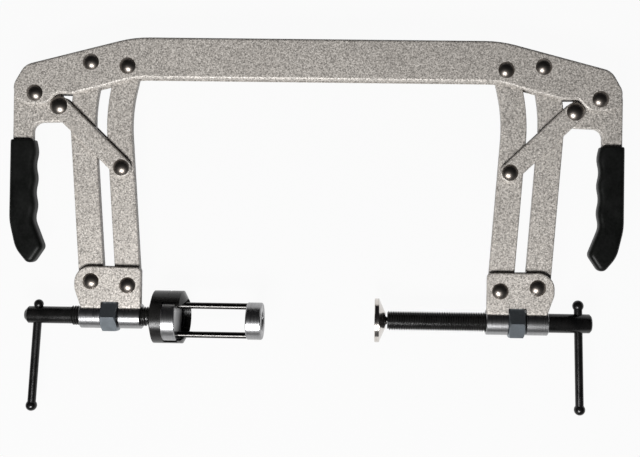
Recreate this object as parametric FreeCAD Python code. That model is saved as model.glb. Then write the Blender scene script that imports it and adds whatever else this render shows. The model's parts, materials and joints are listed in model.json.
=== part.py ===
# Valve spring compressor with two handles, for pressing a valve spring from both ends.
# Two plates make the beam. On each side a handle and a link push a pair of parallel arms
# past a toggle point, and each pair of arms carries a bracket with a threaded spindle.
#
# Drawing frame: X to the right, Y along the tool towards the beam, Z out of the plates,
# with Z = 0 in the middle of the stack. Everything is drawn for the right side,
# with a mirror for the left. The finished pieces are moved so that the origin
# lies under the middle of the tool's box.
import FreeCAD, Part
import math
import os

V = FreeCAD.Vector

# Thickness of the stack, in millimetres
ARM_T = 8.0            # arms and handles, the middle layer
PLATE_T = 4.0          # beam plates, links and bracket cheeks, the outer layers
LAYER_GAP = 0.2        # free play between two layers
RUN = 0.05             # radial clearance of a pin in its hole
THREAD_RUN = 0.08      # radial clearance of a spindle in its nut and sleeves

# Pivots of the right side
HANDLE_PIVOT = (231.4, 108.2)
LINK_PIVOT = (211.3, 97.8)
INNER_PIVOT = (154.9, 131.2)
ARM_SPREAD = (30.3, 2.9)          # from the inner arm's pivots to the outer arm's
ARM_VECTOR = (-2.4, -180.0)       # from an arm's upper pivot to its lower one
LINK_DROP = 83.4                  # how far down the inner arm the link holds it

# Rivets
RIVET_D = 8.0
HEAD_D = 13.4
HEAD_H = 3.4
LINK_HEAD_D = 14.4

# Beam plates
BEAM_TOP = 155.0
BEAM_DEPTH = 33.8
BEAM_SHOULDER = 150.0             # half length of the straight top edge
BEAM_END = 18.0                   # from the handle pivot to the beam's end
BEAM_FOOT = 9.8                   # from the handle pivot to the edge below it
PLATE_ROUND = 2.4

# Arms
ARM_W = 20.7
KNEE_DROP = 37.0
KNEE_OUT = 9.0
KNEE_R = 140.0
FOOT_OUT = 0.6                    # how far the lower hole lies inside the arm's middle line
ARM_ROUND = 1.4

# Links
LINK_OUT = 5.24                   # the link's lower pivot from the line of the arm's two pivots
LINK_W = 16.0
LINK_ROUND = 1.6

# Handles and grips
HEAD_R = 15.0
HEAD_TOP = 14.6                   # from the handle pivot to the handle's upper edge
HANDLE_EDGE = 19.2                # from the handle pivot to the handle's straight outer edge
LOBE_R = 10.5
LOBE_SHIFT = 2.4                  # the lobe's centre lies outwards and down from the pin
SHANK_W = 16.3
HANDLE_ROUND = 1.6
GRIP_TOP = 70.4
GRIP_TIP = -32.0
GRIP_T = 14.4
GRIP_WALL = 1.9
GRIP_ROUND = 4.2
SCALLOP_PITCH = 22.0
SCALLOP_DEPTH = 1.3
SCALLOPS = 3

# Brackets
AXIS_Y = -74.8                    # spindle axis
CHEEK_TOP = -34.0
CHEEK_LEAD = 10.8                 # from the inner arm's lower pivot to the cheek's inner edge
CHEEK_LOBE = 13.9
REAR_SETBACK = 2.2                # the rear cheek's inner edge lies further out
CHEEK_SEAT = 7.0                  # cheek's lower edge above the spindle axis
SLEEVE_D = 20.5
SLEEVE_L = 18.0
THREAD_D = 16.0
NUT_AF = 24.0
NUT_L = 13.0
NUT_PLAY = 1.5
NUT_CLEAR = 0.2

# Spindles and their cross bars
LEFT_HEAD_END = 239.0
LEFT_SHANK_D = 14.0
LEFT_SHANK_END = 200.0
RIGHT_HEAD_END = 227.9
RIGHT_SHANK_D = 15.6
RIGHT_SHANK_END = 192.0
END_CHAMFER = 1.6
LEFT_END_CHAMFER = 3.0
BAR_D = 6.8
BAR_BALL_D = 9.2
LEFT_TOP_BALL_D = 7.8             # the left bar's upper ball, half sunk in its seat
LEFT_BAR_TOP = (-228.2, -66.0)
LEFT_BAR_FOOT = (-233.3, -150.2)
RIGHT_BAR_TOP = (217.1, -60.3)
RIGHT_BAR_FOOT = (219.7, -145.4)

# Swivel pad on the right spindle
PAD_D = 36.0
PAD_FACE = 50.6
PAD_RIM = 3.7
PAD_BACK = 59.5
PAD_BACK_D = 15.0
BALL_D = 9.6
BALL_X = 56.6
STUD_D = 6.0
STUD_L = 14.0
PAD_TO_SPINDLE = 1.5

# Slotted adapter on the left spindle
HOUSING_D = 43.4
HOUSING_BACK = -135.5
HOUSING_FRONT = -103.4
BACK_DOME = 4.5                   # how far the back slopes from its flat to the rim
BACK_FLAT_D = 17.0
FRONT_DOME = 4.2
FRONT_FLAT_D = 28.0
SLOT_TILT = 15.0                  # degrees that the slot's mouth is turned down from Z
SLOT_BACK = -121.8
COLLAR_D = 34.3
COLLAR_L = 11.0
SLOT_CLEAR = 0.15
NOSE_D = 11.0
NOSE_L = 11.0
SAW_CUT_X = -118.1
SAW_CUT_W = 4.4                   # width of the notch at twice its depth
SAW_CUT_DEPTH = 2.9
CAGE_OUT = 6.8                    # how far the cage stands out of its seat
ROD_D = 5.2
ROD_SPACING = 23.8
CAP_D = 30.4
CAP_BACK = -53.5
CAP_FACE = -41.0
CAP_BORE = 16.0
CAP_CHAMFER = 0.8

# Values that follow from those above
PLATE_IN = ARM_T / 2 + LAYER_GAP
PLATE_OUT = PLATE_IN + PLATE_T
ARM_LENGTH = math.hypot(*ARM_VECTOR)
OUTER_PIVOT = (INNER_PIVOT[0] + ARM_SPREAD[0], INNER_PIVOT[1] + ARM_SPREAD[1])
INNER_FOOT = (INNER_PIVOT[0] + ARM_VECTOR[0], INNER_PIVOT[1] + ARM_VECTOR[1])
OUTER_FOOT = (OUTER_PIVOT[0] + ARM_VECTOR[0], OUTER_PIVOT[1] + ARM_VECTOR[1])
BEAM_BOTTOM = BEAM_TOP - BEAM_DEPTH
HANDLE_OUTER = HANDLE_PIVOT[0] + HANDLE_EDGE
SHANK_INNER = HANDLE_OUTER - SHANK_W
CHEEK_INNER = INNER_FOOT[0] - CHEEK_LEAD
SLEEVE_INNER = CHEEK_INNER
NUT_BAY = SLEEVE_INNER + SLEEVE_L
SLEEVE_OUTER = NUT_BAY + NUT_L + NUT_PLAY
CHEEK_OUTER = SLEEVE_OUTER + SLEEVE_L
SLOT_DIRECTION = V(0, -math.sin(math.radians(SLOT_TILT)), math.cos(math.radians(SLOT_TILT)))
SLOT_FRONT = SLOT_BACK + COLLAR_L + 2 * SLOT_CLEAR
CAGE_SHIFT = SLOT_DIRECTION * CAGE_OUT
ORIGIN = V(0, (BEAM_TOP + LEFT_BAR_FOOT[1] - BAR_BALL_D / 2) / 2, -HOUSING_D / 2)


def save(name, shape):
    """Move a finished piece to the tool's origin and write its file."""
    shape.translate(V(0, 0, 0) - ORIGIN)
    shape.exportStep("parts/" + name + ".step")


def mirrored(shape):
    return shape.mirror(V(0, 0, 0), V(1, 0, 0))


def outline(points):
    """Closed wire through (x, y, corner radius) points, each corner an arc of its radius."""
    starts, ends, mids = [], [], []
    count = len(points)
    for i, (x, y, radius) in enumerate(points):
        corner = V(x, y, 0)
        before = V(*points[i - 1][:2], 0) - corner
        after = V(*points[(i + 1) % count][:2], 0) - corner
        before.normalize()
        after.normalize()
        half = before.getAngle(after) / 2
        if radius == 0 or abs(half - math.pi / 2) < 1e-6:
            starts.append(corner)
            ends.append(corner)
            mids.append(None)
            continue
        reach = radius / math.tan(half)
        bisector = (before + after).normalize()
        starts.append(corner + before * reach)
        ends.append(corner + after * reach)
        mids.append(corner + bisector * (radius / math.sin(half) - radius))
    edges = []
    for i in range(count):
        if mids[i] is not None:
            edges.append(Part.Arc(starts[i], mids[i], ends[i]).toShape())
        following = starts[(i + 1) % count]
        if (following - ends[i]).Length > 1e-4:
            edges.append(Part.LineSegment(ends[i], following).toShape())
    return Part.Wire(edges)


def slab(wire, bottom, thickness):
    face = Part.Face(wire)
    face.translate(V(0, 0, bottom))
    return face.extrude(V(0, 0, thickness))


def disc(centre, radius, bottom, thickness):
    return Part.makeCylinder(radius, thickness, V(centre[0], centre[1], bottom))


def band_outline(centres, width, bend=0):
    """Wire of a flat bar with round ends along two or three centres, bent at the middle one."""
    wide = width / 2
    centres = [V(x, y, 0) for x, y in centres]
    runs = [(b - a).normalize() for a, b in zip(centres, centres[1:])]
    sides = [V(-run.y, run.x, 0) for run in runs]
    left = [(centres[0] - runs[0] * wide + sides[0] * wide, wide)]
    right = [(centres[0] - runs[0] * wide - sides[0] * wide, wide)]
    if len(centres) == 3:
        middle = (sides[0] + sides[1]) * (wide / (1 + sides[0].dot(sides[1])))
        turn = math.copysign(wide, runs[0].cross(runs[1]).z)
        left.append((centres[1] + middle, bend - turn))
        right.append((centres[1] - middle, bend + turn))
    left.append((centres[-1] + runs[-1] * wide + sides[-1] * wide, wide))
    right.append((centres[-1] + runs[-1] * wide - sides[-1] * wide, wide))
    return outline([(at.x, at.y, radius) for at, radius in left + right[::-1]])


def level_edges(shape, level):
    """Edges that lie wholly at one height."""
    return [e for e in shape.Edges
            if abs(e.BoundBox.ZMin - level) < 1e-4 and abs(e.BoundBox.ZMax - level) < 1e-4]


def rounded(shape, radius, *levels):
    shape = shape.removeSplitter()
    edges = [e for level in levels for e in level_edges(shape, level)]
    return shape.makeFillet(radius, edges)


def drilled(shape, centres, diameter):
    for centre in centres:
        shape = shape.cut(disc(centre, diameter / 2, -50, 100))
    return shape


def rod(start, length, diameter, x_from):
    """Round bar along X at a (y, z) place."""
    return Part.makeCylinder(diameter / 2, length, V(x_from, start[0], start[1]), V(1, 0, 0))


def ball(centre, diameter):
    """Sphere whose poles lie on the spindle axis."""
    return Part.makeSphere(diameter / 2, V(*centre), V(1, 0, 0), -90, 90, 360)


def dome(centre, diameter, height, level):
    """Low domed rivet head standing on a face at the given height."""
    radius = ((diameter / 2) ** 2 + height ** 2) / (2 * height)
    whole = Part.makeSphere(radius, V(centre[0], centre[1], level + height - radius))
    return whole.common(disc(centre, diameter, level, height + 1))


def rivet(centre, head_diameter):
    """Rivet through the whole stack, with a domed head on each side."""
    shank = disc(centre, RIVET_D / 2, -PLATE_OUT, 2 * PLATE_OUT)
    head = dome(centre, head_diameter, HEAD_H, PLATE_OUT)
    return shank.fuse([head, head.mirror(V(0, 0, 0), V(0, 0, 1))]).removeSplitter()


def front_and_rear(shape):
    return shape, shape.mirror(V(0, 0, 0), V(0, 0, 1))


def outer_plate(wire):
    """Plate of the front layer with its outer edge rounded."""
    return rounded(slab(wire, PLATE_IN, PLATE_T), PLATE_ROUND, PLATE_OUT)


# Beam plates: one outline, with a notch at each end that clears the link's round end
def beam_plate():
    foot = HANDLE_PIVOT[1] - BEAM_FOOT
    end = HANDLE_PIVOT[0] + BEAM_END
    notch = LINK_W / 2 + 2.0
    half = [
        (BEAM_SHOULDER, BEAM_TOP, 100),
        (end - 9.0, HANDLE_PIVOT[1] + 23.4, 14),
        (end + 1.0, HANDLE_PIVOT[1] + 6.0, 12),
        (end - 3.4, foot, 12),
        (LINK_PIVOT[0] + 10.6, foot + 0.3, 8),
        (LINK_PIVOT[0] + 2.2, LINK_PIVOT[1] + notch, 4),
        (LINK_PIVOT[0] - 11.0, LINK_PIVOT[1] + notch - 0.2, 8),
        (INNER_PIVOT[0] + 17.0, BEAM_BOTTOM - 6.3, 40),
        (INNER_PIVOT[0] - 5.0, BEAM_BOTTOM, 60),
    ]
    other = [(-x, y, r) for x, y, r in reversed(half)]
    plate = outer_plate(outline(half + other))
    holes = [HANDLE_PIVOT, OUTER_PIVOT, INNER_PIVOT]
    holes += [(-x, y) for x, y in holes]
    return drilled(plate, holes, RIVET_D + 2 * RUN)


# Arms: a band that bends outwards at the knee, the same for the inner and the outer arm
def arm_point(pivot, drop, across):
    """Point on an arm, at a drop below its pivot and a distance across its chord."""
    along = V(ARM_VECTOR[0], ARM_VECTOR[1], 0).normalize()
    side = V(-along.y, along.x, 0)
    at = V(pivot[0], pivot[1], 0) + along * drop + side * across
    return at.x, at.y


def arm(pivot, foot):
    knee = arm_point(pivot, KNEE_DROP, KNEE_OUT)
    end = arm_point(pivot, ARM_LENGTH, FOOT_OUT)
    bottom = -ARM_T / 2
    bar = slab(band_outline([pivot, knee, end], ARM_W, KNEE_R), bottom, ARM_T)
    bar = rounded(bar, ARM_ROUND, bottom, -bottom)
    return drilled(bar, [pivot, foot], RIVET_D + 2 * RUN)


# Links: two flat bars, one in front of the arm and the handle and one behind
def link_end():
    """Where the link holds the inner arm."""
    return arm_point(INNER_PIVOT, LINK_DROP, LINK_OUT)


def link_bar():
    bar = slab(band_outline([LINK_PIVOT, link_end()], LINK_W), PLATE_IN, PLATE_T)
    bar = rounded(bar, LINK_ROUND, PLATE_OUT)
    return drilled(bar, [LINK_PIVOT, link_end()], RIVET_D + 2 * RUN)


def link_end_rivets():
    """The rivet at the inner arm, drawn as a front and a rear half that stay with the link."""
    stub = disc(link_end(), RIVET_D / 2, PLATE_IN, PLATE_T)
    half = stub.fuse(dome(link_end(), HEAD_D, HEAD_H, PLATE_OUT)).removeSplitter()
    return Part.makeCompound(list(front_and_rear(half)))


# Handles: a flat lever with a round head, a lobe for the link pin and a long curved shank
def handle_core():
    """Whole lever without its holes, so that the grip can be fitted on it."""
    bottom = -ARM_T / 2
    lobe = (LINK_PIVOT[0] + LOBE_SHIFT, LINK_PIVOT[1] - LOBE_SHIFT)
    wire = outline([
        (HANDLE_OUTER, HANDLE_PIVOT[1] + HEAD_TOP, HEAD_R),
        (HANDLE_OUTER, GRIP_TIP + 33, 40),
        (HANDLE_OUTER - 8.0, GRIP_TIP + 11, 7),
        (HANDLE_OUTER - 20.5, GRIP_TIP + 11, 6),
        (HANDLE_OUTER - 23.4, GRIP_TIP + 17, 4),
        (SHANK_INNER + 0.4, GRIP_TIP + 40, 30),
        (SHANK_INNER, lobe[1] - LOBE_R - 0.6, 8),
        (lobe[0], lobe[1] - LOBE_R, 0),
        (lobe[0] - LOBE_R * 0.45, lobe[1] + LOBE_R * 0.89, 0),
        (HANDLE_PIVOT[0] - HEAD_R * 0.55, HANDLE_PIVOT[1] + HEAD_TOP, HEAD_R),
    ])
    lever = slab(wire, bottom, ARM_T).fuse(disc(lobe, LOBE_R, bottom, ARM_T))
    return rounded(lever, HANDLE_ROUND, bottom, -bottom)


def grip_body():
    """Dipped grip: straight outside, finger scallops inside, and a beak at the tip."""
    outer = HANDLE_OUTER + GRIP_WALL
    inner = SHANK_INNER - GRIP_WALL - SCALLOP_DEPTH / 2
    first_crest = GRIP_TOP - 10.4
    scallops = []
    for i in range(2 * SCALLOPS):
        side = -1 if i % 2 == 0 else 1
        radius = 22 if i < 2 * SCALLOPS - 1 else 14
        scallops.append((inner + side * SCALLOP_DEPTH, first_crest - i * SCALLOP_PITCH / 2, radius))
    points = [
        (outer, GRIP_TOP, 0),
        (outer + 0.3, GRIP_TIP + 35, 50),
        (outer - 5.1, GRIP_TIP + 12, 25),
        (outer - 17.6, GRIP_TIP - 3.0, 5),
        (inner - 8.0, GRIP_TIP + 13.5, 5),
        *reversed(scallops),
        (inner + 0.9, GRIP_TOP, 0),
    ]
    body = slab(outline(points), -GRIP_T / 2, GRIP_T)
    long_edges = [e for e in level_edges(body, -GRIP_T / 2) + level_edges(body, GRIP_T / 2)
                  if e.BoundBox.YLength > 1e-3]
    return body.makeFillet(GRIP_ROUND, long_edges)


# Brackets: two cheeks on the arms' feet, two sleeves and a captive nut between them
def cheek(inner):
    """Front cheek whose inner edge lies at the given X."""
    seat = AXIS_Y + CHEEK_SEAT
    over_nut = AXIS_Y + NUT_AF / 2 + NUT_CLEAR
    lobe_x = OUTER_FOOT[0] + CHEEK_LOBE
    plate = slab(outline([
        (inner, CHEEK_TOP, 4),
        (lobe_x, CHEEK_TOP + 0.6, CHEEK_LOBE - 0.6),
        (lobe_x, OUTER_FOOT[1] - 6.0, 12),
        (CHEEK_OUTER - 1.2, seat, 1),
        (SLEEVE_OUTER + 0.2, seat, 0),
        (SLEEVE_OUTER + 0.2, over_nut, 1),
        (NUT_BAY - 0.2, over_nut, 1),
        (NUT_BAY - 0.2, seat, 0),
        (inner, seat, 1),
    ]), PLATE_IN, PLATE_T)
    top_edges = [e for e in level_edges(plate, PLATE_OUT) if e.BoundBox.YMin > over_nut]
    plate = plate.makeFillet(LINK_ROUND, top_edges)
    plate = plate.cut(rod((AXIS_Y, 0), 100, SLEEVE_D, CHEEK_INNER - 20))
    return drilled(plate, [INNER_FOOT, OUTER_FOOT], RIVET_D + 2 * RUN)


def sleeve(x_from):
    tube = rod((AXIS_Y, 0), SLEEVE_L, SLEEVE_D, x_from)
    tube = tube.makeChamfer(0.5, [e for e in tube.Edges if isinstance(e.Curve, Part.Circle)])
    return tube.cut(rod((AXIS_Y, 0), SLEEVE_L, THREAD_D + 2 * THREAD_RUN, x_from))


def captive_nut(x_from):
    """Hexagon nut along X with flats up and down the tool and its corners chamfered."""
    corner = NUT_AF / math.sqrt(3)
    ring = [V(x_from, AXIS_Y + corner * math.sin(math.radians(60 * i)),
              corner * math.cos(math.radians(60 * i))) for i in range(7)]
    nut = Part.Face(Part.makePolygon(ring)).extrude(V(NUT_L, 0, 0))
    face_r = NUT_AF / 2 * 0.97
    drop = (corner - face_r) * math.tan(math.radians(30))
    blank = revolved([(x_from, 0), (x_from, face_r), (x_from + drop, corner),
                      (x_from + NUT_L - drop, corner), (x_from + NUT_L, face_r), (x_from + NUT_L, 0)])
    return nut.common(blank).cut(rod((AXIS_Y, 0), NUT_L, THREAD_D + 2 * THREAD_RUN, x_from))


# Cross bars: a round bar with a ball on each end, free to slide in the spindle's head
def bar_line(top, foot):
    direction = V(foot[0] - top[0], foot[1] - top[1], 0)
    return V(*top, 0), direction


def cross_bar(top, foot, top_ball):
    start, along = bar_line(top, foot)
    bar = Part.makeCylinder(BAR_D / 2, along.Length, start, along)
    balls = [Part.makeSphere(top_ball / 2, start), Part.makeSphere(BAR_BALL_D / 2, start + along)]
    return bar.fuse(balls).removeSplitter()


def cross_hole(top, foot):
    start, along = bar_line(top, foot)
    return Part.makeCylinder(BAR_D / 2 + RUN, along.Length * 1.2, start - along * 0.1, along)


def revolved(profile):
    """Solid turned about the spindle axis from (x, radius) points."""
    points = [V(x, AXIS_Y + r, 0) for x, r in profile]
    points.append(points[0])
    return Part.Face(Part.makePolygon(points)).revolve(V(0, AXIS_Y, 0), V(1, 0, 0), 360)


def left_spindle():
    head, shank, thread, nose = -LEFT_HEAD_END, LEFT_SHANK_D / 2, THREAD_D / 2, NOSE_D / 2
    end = HOUSING_BACK - LAYER_GAP
    body = revolved([(head, 0), (head, shank - LEFT_END_CHAMFER), (head + LEFT_END_CHAMFER, shank),
                     (-LEFT_SHANK_END, shank), (-LEFT_SHANK_END + 1, thread), (end, thread),
                     (end, nose), (end + NOSE_L, nose), (end + NOSE_L, 0)])
    body = body.cut(cross_hole(LEFT_BAR_TOP, LEFT_BAR_FOOT))
    return body.cut(ball((*LEFT_BAR_TOP, 0), LEFT_TOP_BALL_D + 2 * RUN))


def right_spindle():
    head, shank, thread, socket = RIGHT_HEAD_END, RIGHT_SHANK_D / 2, THREAD_D / 2, STUD_D / 2 + RUN
    end = PAD_BACK + PAD_TO_SPINDLE
    deep = end + STUD_L
    body = revolved([(deep, 0), (deep, socket), (end, socket), (end, thread - END_CHAMFER),
                     (end + END_CHAMFER, thread), (RIGHT_SHANK_END, thread), (RIGHT_SHANK_END, shank),
                     (head - END_CHAMFER, shank), (head, shank - END_CHAMFER), (head, 0)])
    return body.cut(cross_hole(RIGHT_BAR_TOP, RIGHT_BAR_FOOT))


# Swivel pad: a turned disc with a ball socket in its back
def pad_disc():
    rim, back = PAD_D / 2, PAD_BACK_D / 2
    body = revolved([(PAD_FACE, 0), (PAD_FACE, rim - 0.4), (PAD_FACE + 0.4, rim), (PAD_FACE + PAD_RIM, rim),
                     (PAD_BACK - 0.6, back), (PAD_BACK, back - 0.6), (PAD_BACK, 0)])
    return body.cut(ball((BALL_X, AXIS_Y, 0), BALL_D + 2 * RUN))


def pad_stud():
    """Ball and stem in one turning, the stem held in the spindle's end."""
    ball_r, stem_r = BALL_D / 2, STUD_D / 2
    end = PAD_BACK + PAD_TO_SPINDLE + STUD_L - LAYER_GAP
    neck = BALL_X + math.sqrt(ball_r ** 2 - stem_r ** 2)
    points = [V(x, AXIS_Y + r, 0) for x, r in
              ((neck, stem_r), (end, stem_r), (end, 0), (BALL_X - ball_r, 0))]
    edges = [Part.LineSegment(a, b).toShape() for a, b in zip(points, points[1:])]
    edges.append(Part.Arc(points[-1], V(BALL_X, AXIS_Y + ball_r, 0), points[0]).toShape())
    return Part.Face(Part.Wire(edges)).revolve(V(0, AXIS_Y, 0), V(1, 0, 0), 360)


# Slotted adapter: the housing takes the cage's collar through a slot in its side
def side_slot(x_from, x_to, radius):
    """Round seat on the axis that opens sideways along the slot direction."""
    length = x_to - x_from
    seat = rod((AXIS_Y, 0), length, 2 * radius, x_from)
    side = V(0, SLOT_DIRECTION.z, -SLOT_DIRECTION.y) * radius
    centre = V(x_from, AXIS_Y, 0)
    mouth = SLOT_DIRECTION * HOUSING_D
    corners = [centre + side, centre - side, centre - side + mouth, centre + side + mouth, centre + side]
    return seat.fuse(Part.Face(Part.makePolygon(corners)).extrude(V(length, 0, 0)))


def adapter_housing():
    back, front, radius = HOUSING_BACK, HOUSING_FRONT, HOUSING_D / 2
    nose = NOSE_D / 2 + RUN
    deep = back + NOSE_L
    body = revolved([(back, nose), (back, BACK_FLAT_D / 2), (back + BACK_DOME, radius),
                     (front - FRONT_DOME, radius), (front, FRONT_FLAT_D / 2), (front, 0),
                     (deep, 0), (deep, nose)])
    body = body.cut(side_slot(SLOT_BACK, SLOT_FRONT, COLLAR_D / 2 + SLOT_CLEAR))
    body = body.cut(side_slot(SLOT_FRONT - 1, front + 1, (ROD_SPACING + ROD_D) / 2 + 2 * SLOT_CLEAR))
    top = AXIS_Y + radius
    corners = [(-SAW_CUT_W / 2, SAW_CUT_DEPTH), (SAW_CUT_W / 2, SAW_CUT_DEPTH), (0, -SAW_CUT_DEPTH)]
    wedge = Part.makePolygon([V(SAW_CUT_X + x, top + y, -radius) for x, y in corners + corners[:1]])
    return body.cut(Part.Face(wedge).extrude(V(0, 0, 2 * radius)))


def pressure_collar():
    x = SLOT_BACK + SLOT_CLEAR
    radius = COLLAR_D / 2
    body = revolved([(x, 0), (x, radius - 0.5), (x + 0.5, radius), (x + COLLAR_L - 0.5, radius),
                     (x + COLLAR_L, radius - 0.5), (x + COLLAR_L, 0)])
    body.translate(CAGE_SHIFT)
    return body


def cage_rods():
    x = SLOT_BACK + SLOT_CLEAR + COLLAR_L
    rods = [rod((AXIS_Y + side * ROD_SPACING / 2, 0), CAP_BACK - x, ROD_D, x) for side in (1, -1)]
    pair = Part.makeCompound(rods)
    pair.translate(CAGE_SHIFT)
    return pair


def cage_cap():
    outer, bore, c = CAP_D / 2, CAP_BORE / 2, CAP_CHAMFER
    body = revolved([(CAP_BACK, bore), (CAP_BACK, outer - c), (CAP_BACK + c, outer), (CAP_FACE - c, outer),
                     (CAP_FACE, outer - c), (CAP_FACE, bore + c), (CAP_FACE - c, bore)])
    body.translate(CAGE_SHIFT)
    return body


def build():
    os.makedirs("parts", exist_ok=True)
    front, rear = front_and_rear(beam_plate())
    save("frame_plate_front", front)
    save("frame_plate_rear", rear)
    pivots = [HANDLE_PIVOT, OUTER_PIVOT, INNER_PIVOT]
    right_rivets = [rivet(at, HEAD_D) for at in pivots]
    save("frame_pivot_rivets", Part.makeCompound(right_rivets + [mirrored(r) for r in right_rivets]))

    core = handle_core()
    link_front, link_rear = front_and_rear(link_bar())
    cheek_front = cheek(CHEEK_INNER)
    cheek_rear = front_and_rear(cheek(CHEEK_INNER + REAR_SETBACK))[1]
    paired = {
        "handle": drilled(core, [HANDLE_PIVOT, LINK_PIVOT], RIVET_D + 2 * RUN),
        "handle_grip": grip_body().cut(core),
        "link_pin": rivet(LINK_PIVOT, LINK_HEAD_D),
        "link_front": link_front,
        "link_rear": link_rear,
        "link_end_rivets": link_end_rivets(),
        "inner_arm": arm(INNER_PIVOT, INNER_FOOT),
        "outer_arm": arm(OUTER_PIVOT, OUTER_FOOT),
        "bracket_cheek_front": cheek_front,
        "bracket_cheek_rear": cheek_rear,
        "bracket_sleeve_inner": sleeve(SLEEVE_INNER),
        "bracket_sleeve_outer": sleeve(SLEEVE_OUTER),
        "bracket_rivets": Part.makeCompound([rivet(INNER_FOOT, HEAD_D), rivet(OUTER_FOOT, HEAD_D)]),
    }
    for name, shape in paired.items():
        left = mirrored(shape)
        save("right_" + name, shape)
        save("left_" + name, left)
    save("right_captive_nut", captive_nut(NUT_BAY + LAYER_GAP))
    save("left_captive_nut", mirrored(captive_nut(NUT_BAY + NUT_PLAY - LAYER_GAP)))
    save("left_spindle", left_spindle())
    save("right_spindle", right_spindle())
    save("left_tommy_bar", cross_bar(LEFT_BAR_TOP, LEFT_BAR_FOOT, LEFT_TOP_BALL_D))
    save("right_tommy_bar", cross_bar(RIGHT_BAR_TOP, RIGHT_BAR_FOOT, BAR_BALL_D))
    save("pad_disc", pad_disc())
    save("pad_stud", pad_stud())
    save("adapter_housing", adapter_housing())
    save("pressure_collar", pressure_collar())
    save("cage_rods", cage_rods())
    save("cage_cap", cage_cap())


build()
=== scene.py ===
# %% [markdown]
# A valve spring compressor lies flat on a pale floor and is seen from straight above.
# The imported frame holds every rigid piece at its real place. This lesson dresses it:
# camera and light first, then the finishes, then the pieces whose form is finer than
# the frame's: the dipped grips and the threaded spindles.

import bmesh
import bpy
import json
import math
from mathutils import Matrix, Vector


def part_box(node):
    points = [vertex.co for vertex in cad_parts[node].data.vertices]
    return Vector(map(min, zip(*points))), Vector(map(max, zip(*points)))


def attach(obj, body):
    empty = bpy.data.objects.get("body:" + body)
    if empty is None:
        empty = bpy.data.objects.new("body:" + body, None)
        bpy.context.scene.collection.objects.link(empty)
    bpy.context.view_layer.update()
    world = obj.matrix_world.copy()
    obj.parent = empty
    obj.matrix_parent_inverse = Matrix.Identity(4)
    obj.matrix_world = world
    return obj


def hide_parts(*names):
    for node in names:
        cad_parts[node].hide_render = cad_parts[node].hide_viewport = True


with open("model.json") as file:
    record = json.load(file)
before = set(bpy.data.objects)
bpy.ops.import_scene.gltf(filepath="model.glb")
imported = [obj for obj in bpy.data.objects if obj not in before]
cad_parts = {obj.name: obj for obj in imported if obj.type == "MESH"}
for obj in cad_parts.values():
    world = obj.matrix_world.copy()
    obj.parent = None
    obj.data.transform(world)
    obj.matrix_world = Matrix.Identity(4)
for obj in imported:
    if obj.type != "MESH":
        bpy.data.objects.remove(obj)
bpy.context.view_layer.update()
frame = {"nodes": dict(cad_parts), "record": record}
nodes = frame["nodes"]
SIDES = ("left", "right")
MM = 0.001

# %% [markdown]
# The camera hangs 0.8 m above the floor and looks down. Its tilt and roll are small and
# were found from the centres of the fourteen rivet heads, which lie in one plane. It
# stands a little to the right of the tool, as the walls show that lean to the left, so
# the lens is shifted by a small part of the frame to bring the tool back to the middle.

# %% Camera
CAMERA_AT = (0.055, 0.0004, 0.8)
CAMERA_TURN = (-0.0001, 0.02227, 0.01488)
FOCAL_PIXELS = 944.8
AXIS_RIGHT_PIXELS = 40.2
AXIS_DOWN_PIXELS = 0.5
FRAME_PIXELS = 640
SENSOR_MM = 36.0
NEAREST_SEEN = 0.01

camera_data = bpy.data.cameras.new("camera")
camera_data.sensor_width = SENSOR_MM
camera_data.lens = FOCAL_PIXELS * SENSOR_MM / FRAME_PIXELS
camera_data.shift_x = -AXIS_RIGHT_PIXELS / FRAME_PIXELS
camera_data.shift_y = AXIS_DOWN_PIXELS / FRAME_PIXELS
camera_data.clip_start = NEAREST_SEEN
camera = bpy.data.objects.new("camera", camera_data)
camera.location = CAMERA_AT
camera.rotation_euler = CAMERA_TURN
bpy.context.scene.collection.objects.link(camera)
bpy.context.scene.camera = camera
bpy.context.scene.view_settings.view_transform = "Standard"

# %% [markdown]
# One soft panel lights the tool. The highlight on each turned sleeve and on each rivet
# head shows where it stands: about 35 degrees off the vertical, on the spindle side, and
# nearer the left. It hangs close, so the spindles get more light than the beam. The rest
# of the room is dark, above all beyond the beam, which keeps the upper edges dark. The
# floor is a wide sheet of middle grey, so that it throws little light back, but the
# camera and the glossy surfaces see it as white.

# %% Floor, world and lamp
FLOOR_SIZE = 60.0
FLOOR_GLOW = 0.95
FLOOR_COLOUR = (0.22, 0.22, 0.22, 1)
FLOOR_ROUGHNESS = 0.9


def floor_finish():
    """Pale sheet that looks white and keeps a soft shadow of the tool."""
    material = bpy.data.materials.new("floor_paper")
    material.use_nodes = True
    tree = material.node_tree
    shader = tree.nodes["Principled BSDF"]
    shader.inputs["Base Color"].default_value = FLOOR_COLOUR
    shader.inputs["Roughness"].default_value = FLOOR_ROUGHNESS
    shader.inputs["Specular IOR Level"].default_value = 0.0
    glow = tree.nodes.new("ShaderNodeEmission")
    glow.inputs["Color"].default_value = (1, 1, 1, 1)
    path = tree.nodes.new("ShaderNodeLightPath")
    straight = math_node(tree, "ADD", path.outputs["Is Camera Ray"], path.outputs["Is Glossy Ray"])
    seen = math_node(tree, "ADD", straight, path.outputs["Is Transmission Ray"], clamp=True)
    mix = tree.nodes.new("ShaderNodeMixShader")
    tree.links.new(math_node(tree, "MULTIPLY", seen, FLOOR_GLOW), mix.inputs["Fac"])
    tree.links.new(shader.outputs[0], mix.inputs[1])
    tree.links.new(glow.outputs[0], mix.inputs[2])
    tree.links.new(mix.outputs[0], tree.nodes["Material Output"].inputs["Surface"])
    return material


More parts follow.
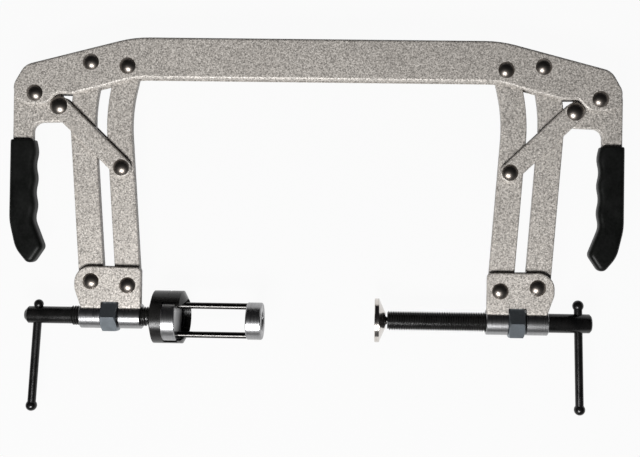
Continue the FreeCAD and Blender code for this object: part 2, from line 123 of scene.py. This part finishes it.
def math_node(tree, operation, first, second, clamp=False):
    """Math node whose inputs are sockets or plain numbers."""
    node = tree.nodes.new("ShaderNodeMath")
    node.operation = operation
    node.use_clamp = clamp
    for index, value in enumerate((first, second)):
        if isinstance(value, (int, float)):
            node.inputs[index].default_value = value
        else:
            tree.links.new(value, node.inputs[index])
    return node.outputs[0]


floor_mesh = bmesh.new()
bmesh.ops.create_grid(floor_mesh, x_segments=1, y_segments=1, size=FLOOR_SIZE / 2)
floor_data = bpy.data.meshes.new("floor")
floor_mesh.to_mesh(floor_data)
floor_mesh.free()
floor = bpy.data.objects.new("floor", floor_data)
floor.data.materials.append(floor_finish())
bpy.context.scene.collection.objects.link(floor)

ROOM_NEAR = (0.10, 0.10, 0.102, 1)
ROOM_FAR = (0.012, 0.012, 0.013, 1)
ROOM_TURN = (-0.9, 0.15)


def dark_room():
    """World that is grey on the spindle side and nearly black beyond the beam."""
    world = bpy.data.worlds.new("studio")
    world.use_nodes = True
    tree = world.node_tree
    direction = tree.nodes.new("ShaderNodeTexCoord")
    split = tree.nodes.new("ShaderNodeSeparateXYZ")
    tree.links.new(direction.outputs["Generated"], split.inputs[0])
    depth = tree.nodes.new("ShaderNodeMapRange")
    depth.inputs["From Min"].default_value = ROOM_TURN[0]
    depth.inputs["From Max"].default_value = ROOM_TURN[1]
    tree.links.new(split.outputs["Y"], depth.inputs["Value"])
    shade = tree.nodes.new("ShaderNodeMix")
    shade.data_type = "RGBA"
    shade.inputs[6].default_value = ROOM_NEAR
    shade.inputs[7].default_value = ROOM_FAR
    tree.links.new(depth.outputs["Result"], shade.inputs["Factor"])
    tree.links.new(shade.outputs[2], tree.nodes["Background"].inputs["Color"])
    return world


bpy.context.scene.world = dark_room()


def lamp(name, at, target, width, height, watts):
    """Soft panel that faces a point of the tool."""
    data = bpy.data.lights.new(name, "AREA")
    data.shape = "RECTANGLE"
    data.size = width
    data.size_y = height
    data.energy = watts
    panel = bpy.data.objects.new(name, data)
    panel.location = at
    panel.rotation_euler = (Vector(target) - Vector(at)).to_track_quat("-Z", "Y").to_euler()
    bpy.context.scene.collection.objects.link(panel)


KEY_AT = (-0.12, -0.5, 0.7)
KEY_AIM = (-0.02, 0, 0.02)
KEY_WIDTH = 0.42
KEY_HEIGHT = 0.28
KEY_WATTS = 11.5
lamp("key_panel", KEY_AT, KEY_AIM, KEY_WIDTH, KEY_HEIGHT, KEY_WATTS)

# %% [markdown]
# Shared effects are node groups. Edge wear brightens corners, speckle gives the paint its
# hammered sparkle, and turning marks are fine rings across an axis. Each puts out a mask
# or a value that a material feeds to its own shader.

# %% Shared node groups
FLAKE_LEVEL = 0.82
BROAD_SHARE = 0.65
FINE_SHARE = 0.35
FINE_TO_BROAD = 9.0
RING_STRETCH = (1.0, 0.02, 0.02)


def group_shell(name, inputs, outputs):
    """Empty shader group with float inputs (name, default) and outputs (name, kind)."""
    group = bpy.data.node_groups.new(name, "ShaderNodeTree")
    for label, default in inputs:
        socket = group.interface.new_socket(label, in_out="INPUT", socket_type="NodeSocketFloat")
        socket.default_value = default
    for label, kind in outputs:
        group.interface.new_socket(label, in_out="OUTPUT", socket_type=kind)
    start = group.nodes.new("NodeGroupInput")
    end = group.nodes.new("NodeGroupOutput")
    return group, start, end


def noise_node(tree, place, scale, detail, roughness):
    """Noise at a place; its scale is a socket or a plain number."""
    node = tree.nodes.new("ShaderNodeTexNoise")
    tree.links.new(place, node.inputs["Vector"])
    if isinstance(scale, (int, float)):
        node.inputs["Scale"].default_value = scale
    else:
        tree.links.new(scale, node.inputs["Scale"])
    node.inputs["Detail"].default_value = detail
    node.inputs["Roughness"].default_value = roughness
    return node.outputs["Fac"]


def speckle_group():
    """Hammered metallic paint: soft blotches with small bright flakes in them."""
    group, start, end = group_shell(
        "speckle", [("Blotches", 900.0), ("Flakes", 2600.0)],
        [("Tone", "NodeSocketFloat"), ("Flake", "NodeSocketFloat"), ("Height", "NodeSocketFloat")])
    place = group.nodes.new("ShaderNodeTexCoord").outputs["Object"]
    blotch = noise_node(group, place, start.outputs["Blotches"], 3.0, 0.6)
    cells = group.nodes.new("ShaderNodeTexVoronoi")
    group.links.new(place, cells.inputs["Vector"])
    group.links.new(start.outputs["Flakes"], cells.inputs["Scale"])
    split = group.nodes.new("ShaderNodeSeparateColor")
    group.links.new(cells.outputs["Color"], split.inputs["Color"])
    flake = math_node(group, "GREATER_THAN", split.outputs[0], FLAKE_LEVEL)
    group.links.new(blotch, end.inputs["Tone"])
    group.links.new(flake, end.inputs["Flake"])
    group.links.new(blotch, end.inputs["Height"])
    return group


def grime_group():
    """Broad uneven film of oil and handling, in two sizes."""
    group, start, end = group_shell("grime", [("Size", 40.0)], [("Film", "NodeSocketFloat")])
    place = group.nodes.new("ShaderNodeTexCoord").outputs["Object"]
    broad = noise_node(group, place, start.outputs["Size"], 4.0, 0.55)
    fine_size = math_node(group, "MULTIPLY", start.outputs["Size"], FINE_TO_BROAD)
    fine = noise_node(group, place, fine_size, 3.0, 0.6)
    broad_part = math_node(group, "MULTIPLY", broad, BROAD_SHARE)
    fine_part = math_node(group, "MULTIPLY", fine, FINE_SHARE)
    group.links.new(math_node(group, "ADD", broad_part, fine_part), end.inputs["Film"])
    return group


def turning_group():
    """Fine lathe rings along the X axis, broken a little so that they look cut."""
    group, start, end = group_shell("turning", [("Rings", 2600.0)], [("Ring", "NodeSocketFloat")])
    place = group.nodes.new("ShaderNodeTexCoord").outputs["Object"]
    stretch = group.nodes.new("ShaderNodeMapping")
    stretch.inputs["Scale"].default_value = RING_STRETCH
    group.links.new(place, stretch.inputs["Vector"])
    rings = noise_node(group, stretch.outputs["Vector"], start.outputs["Rings"], 2.0, 0.7)
    group.links.new(rings, end.inputs["Ring"])
    return group


def wear_group():
    """Mask that is one on sharp outer edges, from the mesh's pointiness."""
    group, start, end = group_shell(
        "edge_wear", [("Low", 0.52), ("High", 0.6)], [("Edge", "NodeSocketFloat")])
    shape = group.nodes.new("ShaderNodeNewGeometry")
    band = group.nodes.new("ShaderNodeMapRange")
    group.links.new(shape.outputs["Pointiness"], band.inputs["Value"])
    group.links.new(start.outputs["Low"], band.inputs["From Min"])
    group.links.new(start.outputs["High"], band.inputs["From Max"])
    group.links.new(band.outputs["Result"], end.inputs["Edge"])
    return group


SPECKLE = speckle_group()
GRIME = grime_group()
TURNING = turning_group()
EDGE_WEAR = wear_group()
print("groups:", [g.name for g in bpy.data.node_groups])

# %% [markdown]
# Each finish is one material with its own shader. The helper makes the shader, places the
# shared groups, mixes colours by a mask and drives a bump.

# %% Material helpers
def finish(name, roughness, metallic=0.0, **sockets):
    material = bpy.data.materials.new(name)
    material.use_nodes = True
    shader = material.node_tree.nodes["Principled BSDF"]
    shader.inputs["Roughness"].default_value = roughness
    shader.inputs["Metallic"].default_value = metallic
    for label, value in sockets.items():
        shader.inputs[label.replace("_", " ").title().replace("Ior", "IOR")].default_value = value
    return material, material.node_tree, shader


def placed(tree, group, **values):
    node = tree.nodes.new("ShaderNodeGroup")
    node.node_tree = group
    for label, value in values.items():
        node.inputs[label.title()].default_value = value
    return node


def mixed(tree, mask, first, second):
    """Colour between two by a mask; each end is a colour or a socket."""
    node = tree.nodes.new("ShaderNodeMix")
    node.data_type = "RGBA"
    tree.links.new(mask, node.inputs["Factor"])
    for socket, value in ((node.inputs[6], first), (node.inputs[7], second)):
        if isinstance(value, tuple):
            socket.default_value = (*value, 1)
        else:
            tree.links.new(value, socket)
    return node.outputs[2]


def ranged(tree, value, low, high, start=0.0, end=1.0):
    """Map a value from one range to another, clamped."""
    node = tree.nodes.new("ShaderNodeMapRange")
    tree.links.new(value, node.inputs["Value"])
    node.inputs["From Min"].default_value = low
    node.inputs["From Max"].default_value = high
    node.inputs["To Min"].default_value = start
    node.inputs["To Max"].default_value = end
    return node.outputs["Result"]


def bumped(tree, shader, height, strength, distance):
    node = tree.nodes.new("ShaderNodeBump")
    node.inputs["Strength"].default_value = strength
    node.inputs["Distance"].default_value = distance
    tree.links.new(height, node.inputs["Height"])
    tree.links.new(node.outputs["Normal"], shader.inputs["Normal"])


# %% [markdown]
# The flat steel parts have a silver hammered paint: a warm grey base with darker pores
# and bright flakes of metal, each about a millimetre across, and a film of old oil.

# %% Hammered silver paint
PAINT_DARK = (0.185, 0.172, 0.157)
PAINT_LIGHT = (0.60, 0.56, 0.515)
PAINT_FLAKE = (0.95, 0.90, 0.84)
PAINT_OILED = (0.30, 0.275, 0.25)


def hammered_paint():
    material, tree, shader = finish("hammered_paint", roughness=0.40, metallic=0.1, specular_ior_level=0.4)
    speckle = placed(tree, SPECKLE, blotches=760.0, flakes=1500.0)
    grime = placed(tree, GRIME, size=22.0)
    tone = ranged(tree, speckle.outputs["Tone"], 0.36, 0.64)
    base = mixed(tree, tone, PAINT_DARK, PAINT_LIGHT)
    sparkle = math_node(tree, "MULTIPLY", speckle.outputs["Flake"], 0.5)
    bright = mixed(tree, sparkle, base, PAINT_FLAKE)
    film = ranged(tree, grime.outputs["Film"], 0.42, 0.72, 0.0, 0.2)
    tree.links.new(mixed(tree, film, bright, PAINT_OILED), shader.inputs["Base Color"])
    tree.links.new(ranged(tree, speckle.outputs["Tone"], 0.3, 0.7, 0.5, 0.34), shader.inputs["Roughness"])
    bumped(tree, shader, speckle.outputs["Height"], 0.5, 0.0003)
    return material


# %% [markdown]
# Rivet heads are brownish steel, smoothed by the forming tool. Grips are dipped in black
# plastisol, which dries with a soft sheen and a slight orange peel.

# %% Rivets and grips
RIVET_CLEAN = (0.30, 0.268, 0.24)
RIVET_DULL = (0.17, 0.152, 0.138)
GRIP_DEEP = (0.0035, 0.0038, 0.0035)
GRIP_HANDLED = (0.010, 0.0105, 0.010)


def rivet_steel():
    material, tree, shader = finish("rivet_steel", roughness=0.34, metallic=1.0)
    grime = placed(tree, GRIME, size=160.0)
    film = ranged(tree, grime.outputs["Film"], 0.35, 0.7)
    tree.links.new(mixed(tree, film, RIVET_CLEAN, RIVET_DULL), shader.inputs["Base Color"])
    tree.links.new(ranged(tree, grime.outputs["Film"], 0.3, 0.7, 0.28, 0.4), shader.inputs["Roughness"])
    bumped(tree, shader, grime.outputs["Film"], 0.25, 0.0002)
    return material


def grip_plastisol():
    material, tree, shader = finish("grip_plastisol", roughness=0.4, specular_ior_level=0.12)
    grime = placed(tree, GRIME, size=55.0)
    film = ranged(tree, grime.outputs["Film"], 0.4, 0.75)
    tree.links.new(mixed(tree, film, GRIP_DEEP, GRIP_HANDLED), shader.inputs["Base Color"])
    tree.links.new(ranged(tree, grime.outputs["Film"], 0.35, 0.75, 0.34, 0.52), shader.inputs["Roughness"])
    bumped(tree, shader, grime.outputs["Film"], 0.15, 0.0006)
    return material


# %% [markdown]
# The spindles, cross bars and adapter have a black oxide skin, slightly oily. Where edges
# rub, a little steel shows. The nuts are zinc plated, and the sleeves, the collar and the
# ring are bright from the lathe.

# %% Oxide, zinc and turned steel
OXIDE_DEEP = (0.003, 0.003, 0.003)
OXIDE_PALE = (0.009, 0.0085, 0.0085)
BARE_STEEL = (0.22, 0.21, 0.20)
BARE_SHARE = 0.08
ZINC_LIGHT = (0.27, 0.30, 0.325)
ZINC_DULL = (0.15, 0.17, 0.19)
OILED_SHARE = 0.6


def black_oxide():
    material, tree, shader = finish("black_oxide", roughness=0.28, specular_ior_level=0.3)
    grime = placed(tree, GRIME, size=110.0)
    film = ranged(tree, grime.outputs["Film"], 0.4, 0.72)
    skin = mixed(tree, film, OXIDE_DEEP, OXIDE_PALE)
    edge = placed(tree, EDGE_WEAR, low=0.56, high=0.7)
    rubbed = math_node(tree, "MULTIPLY", edge.outputs["Edge"], BARE_SHARE)
    tree.links.new(mixed(tree, rubbed, skin, BARE_STEEL), shader.inputs["Base Color"])
    tree.links.new(ranged(tree, grime.outputs["Film"], 0.35, 0.75, 0.2, 0.36), shader.inputs["Roughness"])
    bumped(tree, shader, grime.outputs["Film"], 0.25, 0.0003)
    return material


def zinc_plate():
    material, tree, shader = finish("zinc_plate", roughness=0.33, metallic=0.9)
    grime = placed(tree, GRIME, size=150.0)
    film = ranged(tree, grime.outputs["Film"], 0.35, 0.7)
    tree.links.new(mixed(tree, film, ZINC_LIGHT, ZINC_DULL), shader.inputs["Base Color"])
    tree.links.new(ranged(tree, grime.outputs["Film"], 0.3, 0.7, 0.26, 0.46), shader.inputs["Roughness"])
    bumped(tree, shader, grime.outputs["Film"], 0.2, 0.0002)
    return material


def turned_steel(name, light, dark, roughness):
    material, tree, shader = finish(name, roughness, metallic=1.0)
    rings = placed(tree, TURNING, rings=2400.0)
    grime = placed(tree, GRIME, size=90.0)
    mask = ranged(tree, rings.outputs["Ring"], 0.3, 0.7)
    cut = mixed(tree, mask, dark, light)
    film = ranged(tree, grime.outputs["Film"], 0.45, 0.75, 0.0, 0.3)
    tree.links.new(mixed(tree, film, cut, tuple(OILED_SHARE * c for c in dark)), shader.inputs["Base Color"])
    tree.links.new(ranged(tree, rings.outputs["Ring"], 0.3, 0.7, roughness + 0.08, roughness - 0.05),
                   shader.inputs["Roughness"])
    bumped(tree, shader, rings.outputs["Ring"], 0.2, 0.0001)
    return material


FINISHES = {
    "hammered_paint": hammered_paint(),
    "rivet_steel": rivet_steel(),
    "grip_rubber": grip_plastisol(),
    "black_oxide": black_oxide(),
    "zinc_plate": zinc_plate(),
    "turned_steel": turned_steel("turned_steel", (0.41, 0.41, 0.415), (0.27, 0.27, 0.275), 0.3),
    "polished_steel": turned_steel("polished_steel", (0.72, 0.68, 0.64), (0.55, 0.52, 0.49), 0.16),
    "dark_rod_steel": turned_steel("dark_rod_steel", (0.07, 0.068, 0.066), (0.035, 0.034, 0.033), 0.22),
}
SLOT_OF = {part["node"]: part["material_slot"] for part in frame["record"]["subparts"]}
for name, node in nodes.items():
    node.data.materials.clear()
    node.data.materials.append(FINISHES[SLOT_OF[name]])
print("finished nodes:", len(SLOT_OF))

# %% [markdown]
# New pieces are built in a bmesh, then made an object at the origin with their place in
# the mesh. This helper closes seams, turns faces outwards and shades by angle.

# %% Piece helper
def piece(name, work, body, slot, *replaced, smooth=40):
    bmesh.ops.remove_doubles(work, verts=work.verts, dist=1e-6)
    bmesh.ops.recalc_face_normals(work, faces=work.faces)
    mesh = bpy.data.meshes.new(name)
    work.to_mesh(mesh)
    work.free()
    made = bpy.data.objects.new(name, mesh)
    bpy.context.scene.collection.objects.link(made)
    mesh.materials.append(FINISHES[slot])
    mesh.shade_smooth()
    mesh.set_sharp_from_angle(angle=math.radians(smooth))
    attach(made, body)
    if replaced:
        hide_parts(*replaced)
    print(name, len(mesh.polygons), "faces")
    return made


# %% [markdown]
# A grip is made by dipping the hot handle into liquid plastisol, so it has no hard corner
# anywhere: the skin draws itself round over every edge and thins at the lip. Rings bridged
# along the handle could make that form, but the frame's own grip already has the right
# outline, finger scallops and beak. So its mesh is copied and merged, remeshed into small
# even squares, and smoothed until the corners flow as the liquid did.

# %% Dipped grips
SKIN_VOXEL = 0.8 * MM
FLOW_PASSES = 14


def applied(made):
    """Take the result of an object's modifiers as its own mesh."""
    graph = bpy.context.evaluated_depsgraph_get()
    result = bpy.data.meshes.new_from_object(made.evaluated_get(graph))
    made.modifiers.clear()
    made.data = result


def dipped_grip(side_name):
    node = side_name + "_handle_grip"
    work = bmesh.new()
    work.from_mesh(nodes[node].data)
    made = piece(side_name + "_dipped_grip", work, side_name + "_handle", "grip_rubber", node)
    skin = made.modifiers.new("skin", "REMESH")
    skin.mode = "VOXEL"
    skin.voxel_size = SKIN_VOXEL
    skin.use_smooth_shade = True
    flow = made.modifiers.new("flow", "SMOOTH")
    flow.factor = 0.5
    flow.iterations = FLOW_PASSES
    applied(made)
    made.data.shade_smooth()
    print(made.name, len(made.data.polygons), "faces after dipping")


for side_name in SIDES:
    dipped_grip(side_name)

# %% [markdown]
# A screw thread is one tooth carried round and along: the tooth's section is spun about
# the axis while it moves one pitch per turn. It sits on a plain core, and the head, which
# has no thread, is kept from the frame's own spindle by cutting a copy of it. The tooth's
# section is given in parts of a pitch, and its foot sinks a little into the core.

# %% Threaded spindles
THREAD_R = 8.0 * MM
ROOT_R = 6.75 * MM
PITCH = 2.0 * MM
TURN_STEPS = 28
CORE_SIDES = 48
CREST_HALF = 0.08
FOOT_HALF = 0.46
FOOT_SINK = 0.2 * MM
THREAD_SMOOTH = 35


def head_copy(node, cut_x, keep_above):
    """Closed copy of a node on one side of a plane across X."""
    work = bmesh.new()
    work.from_mesh(nodes[node].data)
    bmesh.ops.remove_doubles(work, verts=work.verts, dist=1e-6)
    geometry = work.verts[:] + work.edges[:] + work.faces[:]
    cut = bmesh.ops.bisect_plane(work, geom=geometry, plane_co=(cut_x, 0, 0), plane_no=(1, 0, 0),
                                 clear_inner=keep_above, clear_outer=not keep_above)
    rim = [g for g in cut["geom_cut"] if isinstance(g, bmesh.types.BMEdge)]
    bmesh.ops.contextual_create(work, geom=rim)
    return work


def threaded_length(work, axis_y, axis_z, x_from, x_to):
    """Core cylinder and a helical tooth between two places on the axis."""
    length = x_to - x_from
    core = bmesh.ops.create_cone(
        work, cap_ends=True, segments=CORE_SIDES, radius1=ROOT_R, radius2=ROOT_R, depth=length)
    along_x = Matrix.Rotation(math.pi / 2, 4, "Y")
    middle = Matrix.Translation(((x_from + x_to) / 2, axis_y, axis_z))
    bmesh.ops.transform(work, matrix=middle @ along_x, verts=core["verts"])
    turns = (length - 1.2 * PITCH) / PITCH
    first = x_from + 0.6 * PITCH
    foot = ROOT_R - FOOT_SINK
    section = [(-FOOT_HALF, foot), (-CREST_HALF, THREAD_R), (CREST_HALF, THREAD_R), (FOOT_HALF, foot)]
    verts = [work.verts.new((first + x * PITCH, axis_y + r, axis_z)) for x, r in section]
    tooth = work.faces.new(verts)
    bmesh.ops.spin(work, geom=[tooth, *tooth.edges, *verts], cent=(0, axis_y, axis_z), axis=(1, 0, 0),
                   dvec=(PITCH / TURN_STEPS, 0, 0), angle=turns * 2 * math.pi, steps=int(turns * TURN_STEPS),
                   use_merge=False, use_duplicate=False)


def spindle(side_name, x_from, x_to, cut_x, keep_above):
    node = side_name + "_spindle"
    low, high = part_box(node)
    axis_y, axis_z = (low.y + high.y) / 2, (low.z + high.z) / 2
    work = head_copy(node, cut_x, keep_above)
    threaded_length(work, axis_y, axis_z, x_from, x_to)
    return piece(node + "_threaded", work, node, "black_oxide", node, smooth=THREAD_SMOOTH)


LEFT_THREAD_START = -0.2005
RIGHT_THREAD_END = 0.192
HOUSING_GAP = 0.2 * MM
housing_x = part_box("adapter_housing")[0].x
right_tip_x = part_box("right_spindle")[0].x
spindle("left", LEFT_THREAD_START, housing_x - HOUSING_GAP, LEFT_THREAD_START, False)
spindle("right", right_tip_x, RIGHT_THREAD_END, RIGHT_THREAD_END, True)
